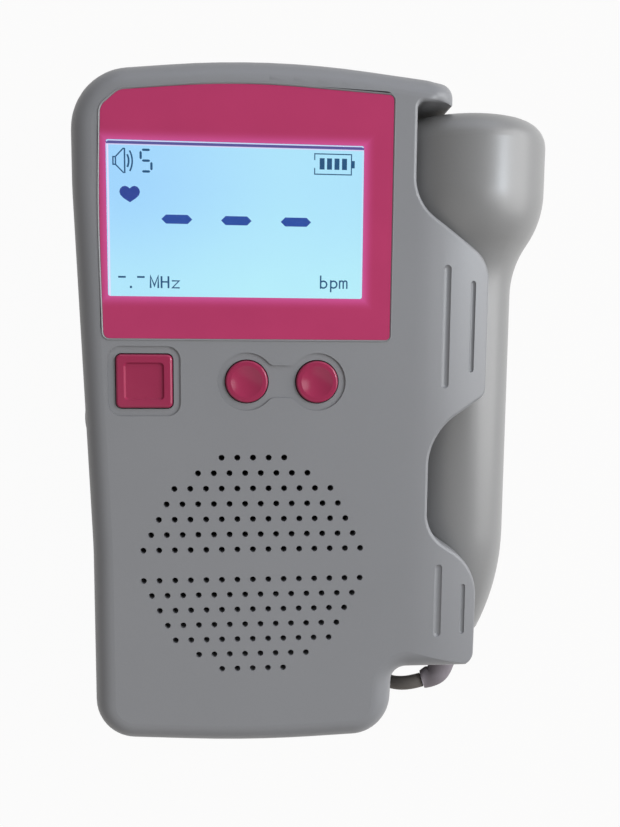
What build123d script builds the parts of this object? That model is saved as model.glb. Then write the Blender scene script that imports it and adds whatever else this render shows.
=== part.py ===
from build123d import *
from math import cos, pi, radians, sin, tan
import os

# A pocket fetal doppler: a flat two-part housing with a display, three push
# buttons and a speaker, and a hand-held probe that lies in a dock on its
# right side.  Millimetres.  The unit lies on its back: +Z comes out of the
# display, +Y is its top end and +X the side of the dock.  The origin is on
# the flat rear face, under the middle of the speaker from left to right and
# at half height.

# ---------------------------------------------------------------- display
view_x = -3.1             # centre of the display's visible window
view_y = 37.0
view_w = 46.8
view_h = 27.6
lens_left_border = 1.8    # pink border of the lens round the window
lens_right_border = 5.9
lens_bottom_border = 7.7
lens_top_border = 10.2
lens_arch = 0.9           # rise of the lens's arched top edge
lens_t = 1.2
lens_gap = 0.12
lens_corner_r = 9.5       # follows the housing's upper left corner
lens_small_r = 1.6
lens_left_x = view_x - view_w / 2 - lens_left_border
lens_right_x = view_x + view_w / 2 + lens_right_border
lens_bottom_y = view_y - view_h / 2 - lens_bottom_border
lens_top_y = view_y + view_h / 2 + lens_top_border
pane_border = 0.3         # the clear pane is wider than the view all round
pane_gap = 0.02
seat_overlap = 1.2        # the ledge under the lens reaches in this far less
glass_margin = 2.2        # the display's glass is wider than the view
glass_t = 2.0
light_guide_t = 2.6
frame_wall = 1.2
frame_floor = 0.8
frame_gap = 0.15

# ---------------------------------------------------------------- housing
thickness = 35.0          # rear face to front face
parting_z = thickness / 2  # where the two shells meet
wall = 2.0                # of the sides, at the parting line
draft_room = 0.4          # more wall there, for the draft
front_wall = 2.4
rear_wall = 2.0
draft = 1.5               # of the side walls, in degrees
front_round = 4.5         # round of the front face's edge
rear_round = 4.0
lean = 2.6                # the left side leans out this far towards the top
upper_left_x = lens_left_x - 5.8
lower_left_x = upper_left_x + lean
right_x = lens_right_x + 2.0    # right side of the main block, below the dock
top_y = lens_top_y + 6.9
top_peak_x = 3.0          # the top end is highest here
top_drop = 3.7            # and falls away this far to its corners
bottom_y = -66.6
shoulder_y = 43.0         # where the left side stops leaning out
waist_y = -26.0           # where it starts
corner_r = 12.0           # upper left corner
foot_r = 8.5              # the two lower corners
end_drop = 2.0            # the arched bottom end falls away this far
arch_r = 250.0            # radius in the middle of the bottom end
top_arch_r = 180.0        # and of the top end

# ---------------------------------------------------------------- probe
probe_x = right_x + 15.3  # the probe's axis, parallel to Y
probe_z = parting_z + 1.5
head_top_y = 58.75
head_r = 16.6
head_round = 5.0
head_len = 13.85
neck_len = 20.3
neck_top_y = head_top_y - head_len
neck_end_y = neck_top_y - neck_len
handle_r = 10.55
taper_y = -25.0
tail_y = -47.0
tail_r = 5.9
probe_wall = 1.8
face_r = 11.35
face_gap = 0.1
face_flange_r = 12.2
face_flange = 1.6
face_proud = 0.2
face_depth = 2.3          # its flange is this far behind the head's wall
crystal_r = 9.6
crystal_t = 1.0
crystal_gap = 1.0
absorber_r = 10.6
absorber_t = 4.0
probe_board_w = 12.0
probe_board_len = 29.0
probe_board_y = -5.0
board_t = 1.2
probe_screw_ys = (14.5, -24.5)
probe_post_r = 2.7
probe_head_depth = 3.0    # how deep the probe's screw heads are sunk

# ---------------------------------------------------------------- dock
hook_end_x = probe_x - 5.2      # end of the hook above the probe's head
hook_y = head_top_y + 0.85      # underside of the hook
hook_r = front_round + 0.7      # round of the hook's end, seen from the front
hook_corner_r = 1.9       # and of its corner over the probe
dock_bottom_y = tail_y - 4.7
dock_flare = 0.6          # the block's right side flares out this far towards the dock
dock_rear_z = 6.6         # rear face of the dock's rear jaw
jaw_corner_r = 2.6
jaw_drop = 2.9            # the front jaw falls this far towards its free edge
jaw_fall_x = probe_x - 12.5     # where it starts to fall
jaw_end_x = probe_x + 3.7       # and where it reaches its lowest level, just off the edge
jaw_edge_r = 0.7          # round of the jaws' free edges
dock_reach_x = probe_x + 8.5    # outline beyond every jaw, cut away by the mouth
head_edge_x = probe_x - 12.8    # edge of the housing beside the probe's head
head_edge_y = 41.2        # where this edge turns out to the upper jaw
upper_jaw_x = probe_x + 2.4     # free edge of the jaw above the finger cut
upper_jaw_y = 30.6
finger_top_y = 4.4        # the finger cut, between the two jaws
finger_bottom_y = -30.3
finger_edge_x = probe_x - 9.2   # its deepest stretch
finger_edge_ys = (-2.9, -23.0)
finger_rs = (12.0, 8.0, 12.0)   # its rounds, from the top down
lower_jaw_x = probe_x + 1.7     # free edge of the jaw below it
jaw_foot_x = probe_x + 1.5      # and at its foot
foot_rise = 1.2           # its lower edge rises this far towards the corner,
foot_run = 9.0            # over this length
jaw_grooves = (           # finger grooves in the front jaw: x from the probe, low y, high y, width
    (-6.3, 5.9, 29.6, 1.6),
    (-0.9, 9.0, 26.7, 1.1),
    (-6.6, -44.1, -29.2, 1.6),
    (-1.3, -44.0, -33.6, 1.1),
)
groove_depth = 0.42
probe_gap = 0.4           # clearance between the probe and its dock
cradle_wall = 1.8         # wall between the dock and the inside

# ---------------------------------------------------------------- boot
boot_r = 3.2
boot_tip_r = 1.9
boot_flange_r = 4.0
boot_flange = 1.5
boot_gap = 0.15
boot_route = (            # from the probe's tail, measured from its axis
    (0.0, 4.0, 0.0),
    (0.0, -2.5, 0.0),
    (-2.2, -12.2, -0.1),
    (-5.6, -13.4, -0.7),
)
boot_bends = (9.0, 4.2)
boot_straight = 0.5       # this share of the boot keeps its full radius
boot_sections = 9
slot_room = 0.8           # round the boot, in the dock's bottom

# ---------------------------------------------------------------- buttons
button_y = lens_bottom_y - 8.4
mode_x = -20.4
mode_w = 10.5
mode_h = 10.1
mode_corner_r = 1.0
mode_dish_margin = 1.5    # from the cap's edge to its dished square
mode_recess = 1.55        # the shallow recess is wider than the cap all round
round_xs = (-1.2, 12.2)
round_r = 4.0
dish_r = 3.0
dish_depth = 0.45
round_recess_r = 5.5
bridge_half = 3.1         # half height of the recess between the round buttons
recess_depth = 0.35
cap_proud = 0.7           # caps stand this far out of the recess's floor
cap_gap = 0.2
cap_flange = 0.9          # the caps' flanges are wider all round
cap_flange_t = 0.8
flange_gap = 0.1
stem_r = 1.6
press = 0.7               # travel of a button

# ---------------------------------------------------------------- boards
main_board_top_z = thickness - 12.4
main_board_t = 1.6
main_board_left_x = lower_left_x + wall + 0.1
main_board_right_x = right_x - 5.4
main_board_bottom_y = button_y - 11.3
main_board_top_y = view_y + view_h / 2 + glass_margin + frame_gap + frame_wall + 0.25
switch_w = 6.0
switch_h = 3.4
plunger_r = 1.7
plunger_gap = 0.05
board_screw_spots = (
    (main_board_left_x + 3.1, lens_bottom_y + 0.9),
    (main_board_right_x - 2.8, lens_bottom_y + 0.9),
)
chips = ((-12.0, 37.0, 14.0, 14.0), (9.0, 42.0, 9.0, 7.0), (9.5, 28.0, 7.0, 6.0), (-6.0, 20.0, 8.0, 5.0))
chip_h = 1.4

# ---------------------------------------------------------------- speaker
speaker_y = -28.5
hole_pitch = 3.0
hole_r = 0.6
hole_sides = 10
grille_rows = (15, 14, 13, 12, 11, 8, 5)   # holes in each row, from the middle out
speaker_r = 22.3
gasket_t = 0.8
gasket_w = 2.6
basket_rim_t = 1.0
basket_share = 0.65       # of the speaker's depth; the magnet takes the rest
basket_foot_r = 10.0
basket_wall = 0.8
cone_t = 0.4
cone_room = 0.3           # between the cone's edge and the basket's rim
dust_cap_r = 5.5
cap_rise = 1.4
magnet_r = 9.0
magnet_room = 2.0         # between the magnet and the battery bay

# ---------------------------------------------------------------- batteries
cell_r = 7.1
cell_len = 49.2
nub_r = 2.7
nub_len = 1.3
cell_x = 8.0              # half the distance between the two cells
cell_z = 10.95
bay_wall = 1.4
bay_side = 0.5            # room beside a cell
bay_roof = 1.2
bay_headroom = 0.3        # room above a cell
bay_foot = 2.0            # the bay's roof stays clear of the bottom end's wall
contact_t = 0.4
contact_half = 5.5        # half width of a contact plate
spring_turns = 3.5
spring_wire_r = 0.4
spring_r = 3.6
spring_len = 3.3
spring_cone = -12.0       # the springs narrow by this many degrees
spring_gap = 0.05
cell_edge_r = 0.6
bay_top_y = bottom_y + wall + 2 * contact_t + spring_len + cell_len + nub_len + bay_wall
cover_half_w = cell_x + cell_r + 0.9
cover_t = 1.9
cover_rail = 1.4          # the cover's inner plate is wider on each side
cover_rail_t = 1.3
cover_gap = 0.2
cover_top_y = bay_top_y + 0.4
grip_count = 6
grip_pitch = 2.4
grip_y = 14.0             # the first groove, from the bottom end
grip_w = 20.0
grip_t = 1.0
grip_depth = 0.5

# ---------------------------------------------------------------- fixings
foot_insets = ((5.1, 9.2), (6.0, 8.2))   # left and right screw, from the sides and the bottom end
head_insets = ((8.9, 9.7), (8.6, 7.5))   # the same at the top end
case_screw_spots = (
    (lower_left_x + foot_insets[0][0], bottom_y + foot_insets[0][1]),
    (right_x - foot_insets[1][0], bottom_y + foot_insets[1][1]),
    (upper_left_x + head_insets[0][0], top_y - head_insets[0][1]),
    (right_x - head_insets[1][0], top_y - head_insets[1][1]),
)
post_r = 3.3
post_foot = 0.5           # the rear shell's posts are wider
board_post_r = 2.7
board_bite = 6.0          # depth of the holes in the board's posts
board_head_r = 2.1
board_head_t = 1.3
slot_len = 2.4            # crossed slots in the screw heads: length, width, depth
slot_w = 0.6
slot_deep = 0.5
case_head_r = 2.3
case_head_t = 1.6
case_shank_r = 1.1
case_sink = 6.0           # depth of the holes for the screw heads
shank_gap = 0.15
case_bite = 8.0           # how far a case screw goes into the front shell

# ---------------------------------------------------------------- sockets
jack_y = button_y - 7.5
jack_z = main_board_top_z + 3.1
jack_r = 1.8              # bore for a 3.5 mm headphone plug
jack_len = 13.0
jack_w = 6.6
jack_h = 5.8
jack_neck_r = 3.0
jack_neck = 4.0
jack_neck_gap = 0.2
outlet_y = dock_bottom_y - 4.9  # where the probe's cable enters the main block
outlet_z = 9.0
outlet_r = 2.9
outlet_out = 4.0
outlet_gap = 0.1
outlet_lip = 0.5          # rubber round the cable at the outlet's mouth

# ---------------------------------------------------------------- cable
cable_r = 1.5
lead_route = (
    (37.7, -60.5, 18.3),
    (35.5, -61.3, 17.9),
    (32.9, -62.2, 16.2),
    (31.0, -62.9, 13.4),
    (30.2, -63.0, 10.4),
    (30.2, -62.6, 7.0),
    (30.3, -60.4, 3.8),
    (30.6, -56.6, 1.7),
    (31.6, -51.2, 1.7),
    (32.6, -45.0, 1.7),
    (32.5, -38.6, 1.7),
)
hank_x = 44.5             # middle of the put-away hank
hank_y = -8.5
hank_run = 50.0           # length of its straight runs
hank_fold_r = (9.0, 12.0)  # radii of its folds, at the middle of the cable
hank_z = 0.2
hank_h = 5.95
tail_route = (
    (56.5, -38.0, 4.6),
    (56.3, -44.6, 3.6),
    (53.8, -50.6, 2.0),
    (49.2, -55.0, 1.7),
    (43.9, -56.6, 3.4),
    (39.2, -56.7, 6.6),
    (35.2, -56.6, 8.7),
    (32.2, -56.6, 9.0),
)
tie_y = -15.0
tie_w = 8.0
tie_t = 0.5
tie_gap = 0.05

eps = 0.01
far = 90.0                # beyond the whole unit, for tools that cut right across it


# ---------------------------------------------------------------- helpers
def outline(corners):
    """A face bounded by straight runs; each corner is (x, y, radius)."""
    with BuildLine() as path:
        FilletPolyline(*[(x, y) for x, y, _ in corners], radius=[r for _, _, r in corners], close=True)
    return make_face(path.edges())


def prism(face, z0, z1, taper=0.0):
    """The face swept from z0 to z1, drawing in by the taper on the way."""
    return extrude(Pos(0, 0, z0) * face, amount=z1 - z0, dir=(0, 0, 1), taper=taper)


def block(x0, x1, y0, y1, z0, z1):
    return Pos((x0 + x1) / 2, (y0 + y1) / 2, (z0 + z1) / 2) * Box(x1 - x0, y1 - y0, z1 - z0)


def drum(x, y, z0, z1, r):
    return Pos(x, y, (z0 + z1) / 2) * Cylinder(r, z1 - z0)


def rod(x0, x1, y, z, r):
    """A round rod along X."""
    return Pos((x0 + x1) / 2, y, z) * Rot(0, 90, 0) * Cylinder(r, x1 - x0)


def plate(w, h, r, x, y, z0, z1):
    """A flat plate with rounded corners."""
    return prism(Pos(x, y) * RectangleRounded(w, h, r), z0, z1)


def save(name, shape):
    """Writes one sub-part; its separate solids stay separate."""
    solids = shape.solids()
    body = solids[0] if len(solids) == 1 else Compound(children=list(solids))
    body.label = name
    export_step(body, "parts/" + name + ".step")


# ---------------------------------------------------------------- outlines
left_side = [
    (upper_left_x, top_y - top_drop, corner_r),
    (upper_left_x, shoulder_y, 60.0),
    (lower_left_x, waist_y, 120.0),
    (lower_left_x, bottom_y + end_drop, foot_r),
    (0.0, bottom_y, arch_r),
    (right_x, bottom_y + end_drop / 2, foot_r),
]
hook_end = [
    (hook_end_x, top_y - top_drop, hook_r),
    (top_peak_x, top_y, top_arch_r),
]
inner_corner_r = 2.4
hook_root_y = hook_y - 6.0     # the block's outline turns in here, behind the probe's head
jaw_top_y = hook_root_y + 1.0

main_outline = left_side + [
    (right_x + dock_flare, dock_bottom_y, arch_r),
    (right_x, hook_root_y, inner_corner_r),
    (hook_end_x, hook_root_y, inner_corner_r),
] + hook_end

front_outline = left_side + [
    (right_x + dock_flare, dock_bottom_y, inner_corner_r),
    (dock_reach_x, dock_bottom_y, front_round + 1.5),
    (dock_reach_x, hook_root_y, front_round + 1.5),
    (hook_end_x, hook_root_y, inner_corner_r),
] + hook_end

rear_jaw_outline = [
    (0.0, dock_bottom_y, inner_corner_r),
    (dock_reach_x, dock_bottom_y, inner_corner_r),
    (dock_reach_x, jaw_top_y, inner_corner_r),
    (0.0, jaw_top_y, inner_corner_r),
]

# The mouth of the dock: what is cut out of the jaws so that the probe's
# head stands free and the fingers reach the handle.
mouth_outline = [
    (far, hook_y + 2 * hook_corner_r, 1.0),
    (hook_end_x - 0.2, hook_y + 2 * hook_corner_r, 1.0),
    (hook_end_x - 0.2, hook_y, hook_corner_r),
    (head_edge_x, hook_y, 1.2),
    (head_edge_x, head_edge_y, 9.0),
    (upper_jaw_x, upper_jaw_y, 7.0),
    (upper_jaw_x, finger_top_y, 2.4),
    (finger_edge_x, finger_edge_ys[0], finger_rs[0]),
    (finger_edge_x, finger_edge_ys[1], finger_rs[1]),
    (lower_jaw_x, finger_bottom_y, finger_rs[2]),
    (jaw_foot_x, dock_bottom_y + foot_rise, jaw_corner_r),
    (jaw_foot_x - foot_run, dock_bottom_y - foot_rise / 4, 1.0),
    (jaw_foot_x, -far, 1.0),
    (far, -far, 1.0),
]


# ---------------------------------------------------------------- probe form
def probe_profile(grow=0.0):
    """Half section of the probe, radius along X and length along Y."""
    neck_mid = ((head_r + handle_r) / 2 + grow, (neck_top_y + neck_end_y) / 2)
    top, tail = head_top_y + grow, tail_y - grow
    with BuildLine() as path:
        Line((0, tail), (tail_r + grow, tail))
        taper = TangentArc((handle_r + grow, taper_y), (tail_r + grow, tail), tangent=(0, -1))
        Line((handle_r + grow, taper_y), (handle_r + grow, neck_end_y))
        lower = TangentArc((handle_r + grow, neck_end_y), neck_mid, tangent=(0, 1))
        TangentArc(neck_mid, (head_r + grow, neck_top_y), tangent=lower % 1)
        Line((head_r + grow, neck_top_y), (head_r + grow, top - head_round))
        RadiusArc((head_r + grow, top - head_round), (head_r + grow - head_round, top), -head_round)
        Line((head_r + grow - head_round, top), (0, top))
        Line((0, top), (0, tail))
    return make_face(path.edges())


def probe_body(grow=0.0):
    return revolve(probe_profile(grow), Axis.Y)


probe_place = Pos(probe_x, 0, probe_z)


def dock_space():
    """What the probe needs to lie in the dock and to be drawn out along +X."""
    half = probe_profile(probe_gap)
    section = Rot(0, -90, 0) * (half + mirror(half, Plane.YZ))
    way_out = extrude(section, amount=dock_reach_x - probe_x + slot_room, dir=(1, 0, 0))
    slot = block(probe_x - boot_r - slot_room, far, dock_bottom_y - 1.0, tail_y + 2.0,
                 probe_z - boot_r - slot_room, probe_z + boot_r + slot_room)
    return probe_place * (probe_body(probe_gap) + way_out) + slot


# ---------------------------------------------------------------- housing form
def mouth():
    return prism(outline(mouth_outline), -1.0, far)


def above_jaw():
    """What is above the front jaw, where its face falls away to the free edge."""
    low = thickness - jaw_drop
    with BuildLine() as path:
        curve = TangentArc((jaw_fall_x, thickness), (jaw_end_x, low), tangent=(1, 0))
        Polyline(curve @ 1, (far, low), (far, far), (jaw_fall_x, far), (jaw_fall_x, thickness))
    side = Rot(90, 0, 0) * make_face(path.edges())
    return Pos(0, head_edge_y + head_edge_x / 4, 0) * extrude(side, amount=2 * far, dir=(0, -1, 0))


def edges_at(shape, z):
    return shape.edges().filter_by(lambda e: abs(e.bounding_box().min.Z - z) < eps
                                   and abs(e.bounding_box().max.Z - z) < eps)


def free_edges(form):
    """The edges that the dock's mouth leaves round the front face."""
    walls = [f for f in mouth().faces() if abs(f.normal_at().Z) < 0.5]
    level = form.edges().filter_by(lambda e: e.bounding_box().min.Z > thickness - front_round
                                   and abs((e % 0.5).Z) < 0.5 and (e @ 0.5).Y > dock_bottom_y)
    return level.filter_by(lambda e: any(w.distance_to(Vertex(*(e @ 0.5))) < eps for w in walls))


def front_form():
    form = prism(outline(front_outline), parting_z, thickness, draft)
    form = fillet(edges_at(form, thickness), front_round)
    near = far - 10.0
    slab = block(-near, near, -near, near, parting_z, thickness) - above_jaw() - mouth()
    return form & fillet(free_edges(slab), jaw_edge_r)


def rear_form():
    form = prism(outline(main_outline), parting_z, 0.0, draft)
    form = fillet(edges_at(form, 0.0), rear_round)
    jaw = prism(outline(rear_jaw_outline), parting_z, dock_rear_z, draft) - mouth()
    jaw = fillet(edges_at(jaw, dock_rear_z), jaw_edge_r)
    return form - mouth() + jaw


def inside(z0, z1):
    """The hollow of the main block between two heights, clear of the dock."""
    room = offset(outline(main_outline), -wall - draft_room, kind=Kind.INTERSECTION)
    room = prism(room, z0, z1) & block(-far, right_x - wall, -far, far, z0, z1)
    return room - probe_place * probe_body(probe_gap + cradle_wall)


# ---------------------------------------------------------------- lens
def lens_face(shrink=0.0):
    left, right = lens_left_x + shrink, lens_right_x - shrink
    low, high = lens_bottom_y + shrink, lens_top_y - shrink
    return outline([
        (left, low, lens_small_r),
        (right, low, lens_small_r),
        (right, high, lens_small_r),
        (1.5, high + lens_arch, arch_r),
        (left, high - lens_arch, lens_corner_r),
    ])


lens_floor_z = thickness - lens_t
glass_top_z = thickness - front_wall - 0.1


def view_plate(grow, z0, z1, r=0.4):
    return plate(view_w + 2 * grow, view_h + 2 * grow, r, view_x, view_y, z0, z1)


# ---------------------------------------------------------------- buttons
cap_top_z = thickness - recess_depth + cap_proud
flange_top_z = thickness - front_wall - flange_gap
flange_bottom_z = flange_top_z - cap_flange_t
switch_top_z = main_board_top_z + switch_h
plunger_top_z = switch_top_z + press + 0.4


def round_cap(x):
    cap = drum(x, button_y, flange_bottom_z, cap_top_z, round_r)
    cap = fillet(edges_at(cap, cap_top_z), 0.4)
    ball_r = (dish_r ** 2 + dish_depth ** 2) / (2 * dish_depth)
    cap -= Pos(x, button_y, cap_top_z + ball_r - dish_depth) * Sphere(ball_r)
    cap += drum(x, button_y, flange_bottom_z, flange_top_z, round_r + cap_flange)
    return cap + drum(x, button_y, plunger_top_z, flange_bottom_z + eps, stem_r)


def square_cap():
    cap = plate(mode_w, mode_h, mode_corner_r, mode_x, button_y, flange_bottom_z, cap_top_z)
    cap = fillet(edges_at(cap, cap_top_z), 0.5)
    dish_w, dish_h = mode_w - 2 * mode_dish_margin, mode_h - 2 * mode_dish_margin
    dish = extrude(Pos(mode_x, button_y, cap_top_z) * RectangleRounded(dish_w, dish_h, 0.8),
                   amount=-dish_depth, taper=35)
    cap -= dish
    cap += plate(mode_w + 2 * cap_flange, mode_h + 2 * cap_flange, mode_corner_r, mode_x, button_y,
                 flange_bottom_z, flange_top_z)
    return cap + drum(mode_x, button_y, plunger_top_z, flange_bottom_z + eps, stem_r)


def button_cuts():
    """The recesses round the buttons and the holes for their caps."""
    floor = thickness - recess_depth
    wide = 2 * mode_recess
    cuts = plate(mode_w + wide, mode_h + wide, mode_corner_r + mode_recess, mode_x, button_y,
                 floor, thickness + 1)
    cuts += plate(mode_w + 2 * cap_gap, mode_h + 2 * cap_gap, mode_corner_r + cap_gap, mode_x, button_y,
                  thickness - front_wall - 1, thickness)
    first, last = round_xs
    wave = Pos((first + last) / 2, button_y) * Rectangle(last - first, 2 * bridge_half)
    for x in round_xs:
        wave += Pos(x, button_y) * Circle(round_recess_r)
    meets = wave.vertices().filter_by(lambda v: first + 1 < v.X < last - 1)
    wave = fillet(meets, 1.6)
    cuts += prism(wave, floor, thickness + 1)
    for x in round_xs:
        cuts += drum(x, button_y, thickness - front_wall - 1, thickness, round_r + cap_gap)
    return cuts


# ---------------------------------------------------------------- grille
def grille_holes():
    spots = []
    for row, count in enumerate(grille_rows, start=1):
        for side in (1, -1):
            y = speaker_y + side * row * hole_pitch
            first = -(count - 1) / 2 * hole_pitch
            spots += [(first + k * hole_pitch, y) for k in range(count)]
    holes = Sketch() + [Pos(x, y) * RegularPolygon(hole_r, hole_sides) for x, y in spots]
    return prism(holes, thickness - front_wall - 1, thickness + 1)


# ---------------------------------------------------------------- jaw grooves
def grooves():
    """Shallow grooves with a round bottom and round ends."""
    cuts = []
    for side, low, high, w in jaw_grooves:
        x = probe_x + side
        run = (x - jaw_fall_x) / (jaw_end_x - jaw_fall_x)
        surface = thickness - jaw_drop * run ** 2
        r = (w ** 2 / 4 + groove_depth ** 2) / (2 * groove_depth)
        z = surface - groove_depth + r
        half = (high - low - w) / 2
        bar = Rot(90, 0, 0) * Cylinder(r, 2 * half)
        for end in (-half, half):
            bar += Pos(0, end, 0) * Sphere(r)
        cuts.append(Pos(x, (low + high) / 2, z) * bar)
    return cuts


# ---------------------------------------------------------------- shells
outlet_inner_x = right_x - wall - 1.0
jack_x0 = upper_left_x + 1.4
bay_half_x = cell_x + cell_r + bay_side
bay_outer_x = bay_half_x + bay_wall + cover_rail + bay_side
bay_roof_z = cell_z + cell_r + bay_headroom
bay_low_y = bottom_y + wall + bay_foot
rail_z0 = cover_t + cover_gap
rail_z1 = rail_z0 + cover_rail_t


def cover_space(gap):
    """The cover's T-shaped slot in the rear face, open at the bottom end."""
    outer, inner = cover_half_w + gap, cover_half_w + cover_rail + gap
    slot = block(-outer, outer, -far, cover_top_y + gap, -1, rail_z0 + eps)
    return slot + block(-inner, inner, -far, cover_top_y + gap, rail_z0 - gap, rail_z1 + gap)


def make_front_shell():
    shell = front_form()
    shell -= dock_space()
    shell -= inside(parting_z - 1, thickness - front_wall)
    for x, y in case_screw_spots:
        post = drum(x, y, parting_z, thickness - front_wall + eps, post_r)
        shell += post - drum(x, y, parting_z - 1, parting_z + case_bite + 1, case_shank_r + eps)
    for x, y in board_screw_spots:
        post = drum(x, y, main_board_top_z, thickness - front_wall + eps, board_post_r)
        shell += post - drum(x, y, main_board_top_z - 1, main_board_top_z + board_bite, case_shank_r + eps)
    shell -= prism(lens_face(), lens_floor_z, thickness + 1)
    shell -= view_plate(seat_overlap, thickness - front_wall - 1, thickness)
    shell -= button_cuts()
    shell -= grille_holes()
    for cut in grooves():
        shell -= cut
    shell -= rod(-far, jack_x0 + jack_neck, jack_y, jack_z, jack_neck_r + jack_neck_gap)
    return shell


def make_rear_shell():
    shell = rear_form() - dock_space()
    shell -= inside(rear_wall, parting_z + 1)
    bay = block(-bay_outer_x, bay_outer_x, bottom_y, bay_top_y, rear_wall - eps, parting_z)
    shell += bay & rear_form()
    shell += block(-bay_outer_x, bay_outer_x, bay_low_y, bay_top_y, parting_z - eps, bay_roof_z + bay_roof)
    shell -= block(-bay_half_x, bay_half_x, bottom_y + wall, bay_top_y - bay_wall, rear_wall, bay_roof_z)
    shell -= cover_space(cover_gap)
    for x, y in case_screw_spots:
        shell += drum(x, y, rear_wall - eps, parting_z, post_r + post_foot) & rear_form()
        shell -= drum(x, y, -1, case_sink, case_head_r + shank_gap)
        shell -= drum(x, y, 0, parting_z + 1, case_shank_r + shank_gap)
    return shell - rod(outlet_inner_x, right_x + 1, outlet_y, outlet_z, outlet_r)


def make_battery_cover():
    cover = rear_form() & cover_space(0.0)
    cover -= block(-far, far, -far, far, rail_z1, thickness)
    for k in range(grip_count):
        y = bottom_y + grip_y + k * grip_pitch
        cover -= block(-grip_w / 2, grip_w / 2, y - grip_t / 2, y + grip_t / 2, -1, grip_depth)
    return cover


# ---------------------------------------------------------------- display parts
def make_bezel():
    bezel = prism(lens_face(lens_gap), lens_floor_z, thickness)
    return bezel - view_plate(pane_border, lens_floor_z - 1, thickness + 1)


def make_pane():
    return view_plate(pane_border - pane_gap, lens_floor_z, thickness - pane_gap)


def make_display_frame():
    z0 = glass_top_z - glass_t - light_guide_t - frame_floor
    grow = glass_margin + frame_gap
    tray = view_plate(grow + frame_wall, z0, glass_top_z, 1.0)
    tray -= view_plate(grow, z0 + frame_floor, glass_top_z + 1, 0.3)
    for x in (view_x - view_w / 2, view_x + view_w / 2):
        for y in (view_y - view_h / 2, view_y + view_h / 2):
            tray += drum(x, y, main_board_top_z, z0 + eps, 1.5)
    return tray


# ---------------------------------------------------------------- speaker parts
speaker_top_z = thickness - front_wall
rim_top_z = speaker_top_z - gasket_t
magnet_low_z = bay_roof_z + bay_roof + magnet_room
basket_depth = basket_share * (rim_top_z - magnet_low_z)
cone_depth = basket_depth / 2


def ring(x, y, z0, z1, r_out, r_in):
    return drum(x, y, z0, z1, r_out) - drum(x, y, z0 - 1, z1 + 1, r_in)


def bowl(z0, z1, r0, r1, t):
    """A thin cone, r0 wide at z0 and r1 wide at z1, open at both ends."""
    half = Polyline((r0, z0), (r1, z1), (r1 - t, z1), (r0 - t, z0), close=True)
    return Pos(0, speaker_y, 0) * revolve(Rot(90, 0, 0) * make_face(half), Axis.Z)


def make_basket():
    z0 = rim_top_z - basket_rim_t
    low = rim_top_z - basket_depth
    basket = ring(0, speaker_y, z0, rim_top_z, speaker_r, speaker_r - gasket_w)
    basket += bowl(low, z0 + eps, basket_foot_r, speaker_r - gasket_w + basket_wall, basket_wall)
    return basket + drum(0, speaker_y, low, low + basket_wall, basket_foot_r)


def make_cone():
    r = speaker_r - gasket_w - cone_room
    top = rim_top_z - cone_room
    cone = bowl(top - cone_depth, top, dust_cap_r + cone_t, r, cone_t)
    cap_r = dust_cap_r + cone_t / 2
    ball_r = (cap_r ** 2 + cap_rise ** 2) / (2 * cap_rise)
    cap = Pos(0, speaker_y, top - cone_depth + cap_rise - ball_r) * (Sphere(ball_r) - Sphere(ball_r - cone_t))
    cap &= drum(0, speaker_y, top - cone_depth, top, dust_cap_r + cone_t)
    return cone + cap


# ---------------------------------------------------------------- power parts
cell_low_y = bay_top_y - bay_wall - contact_t - nub_len - cell_len


def make_cell(x, up):
    """A round cell along Y; its nub is at the top end if up is 1."""
    mid = cell_low_y + (cell_len + nub_len) / 2
    lie = Pos(x, mid, cell_z) * Rot(-90 * up, 0, 0)
    can = Pos(0, 0, -nub_len / 2) * Cylinder(cell_r, cell_len)
    can = fillet(can.edges(), cell_edge_r)
    return lie * (can + Pos(0, 0, cell_len / 2) * Cylinder(nub_r, nub_len))


def make_contacts():
    """The bridge plate at the top of the bay and one plate at its bottom end."""
    y = bay_top_y - bay_wall
    z0, z1 = cell_z - contact_half, cell_z + contact_half
    top = block(-cell_x - contact_half, cell_x + contact_half, y - contact_t, y, z0, z1)
    y = bottom_y + wall
    parts = [top]
    for x in (-cell_x, cell_x):
        parts.append(block(x - contact_half, x + contact_half, y, y + contact_t, z0, z1))
    return Compound(children=parts)


def make_spring(x):
    """A conical spring between the bottom plate and a cell."""
    y0 = bottom_y + wall + contact_t + spring_wire_r
    y1 = cell_low_y - spring_wire_r - spring_gap
    coil = Helix(pitch=(y1 - y0) / spring_turns, height=y1 - y0, radius=spring_r, cone_angle=spring_cone)
    wire = sweep((coil ^ 0) * Circle(spring_wire_r), path=coil)
    return Pos(x, y0, cell_z) * Rot(-90, 0, 0) * wire


# ---------------------------------------------------------------- fixings
def make_screw(x, y, z, head_r, head_t, end_z, shank_r):
    """A screw along Z; its head is below z, with two crossed slots."""
    head = drum(x, y, z - head_t, z, head_r)
    slots = Box(slot_w, slot_len, 2 * slot_deep) + Box(slot_len, slot_w, 2 * slot_deep)
    head -= Pos(x, y, z - head_t) * slots
    return head + drum(x, y, z - eps, end_z, shank_r)


def make_case_screw(x, y):
    return make_screw(x, y, case_sink, case_head_r, case_head_t, parting_z + case_bite, case_shank_r)


def make_board_screw(x, y):
    z = main_board_top_z - main_board_t
    return make_screw(x, y, z, board_head_r, board_head_t, main_board_top_z + board_bite - 1, case_shank_r)


def make_main_board():
    z0 = main_board_top_z - main_board_t
    x = (main_board_left_x + main_board_right_x) / 2
    y = (main_board_bottom_y + main_board_top_y) / 2
    board = plate(main_board_right_x - main_board_left_x, main_board_top_y - main_board_bottom_y, 1.5,
                  x, y, z0, main_board_top_z)
    for sx, sy in board_screw_spots:
        board -= drum(sx, sy, z0 - 1, main_board_top_z + 1, case_shank_r + shank_gap)
    return board


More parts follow.
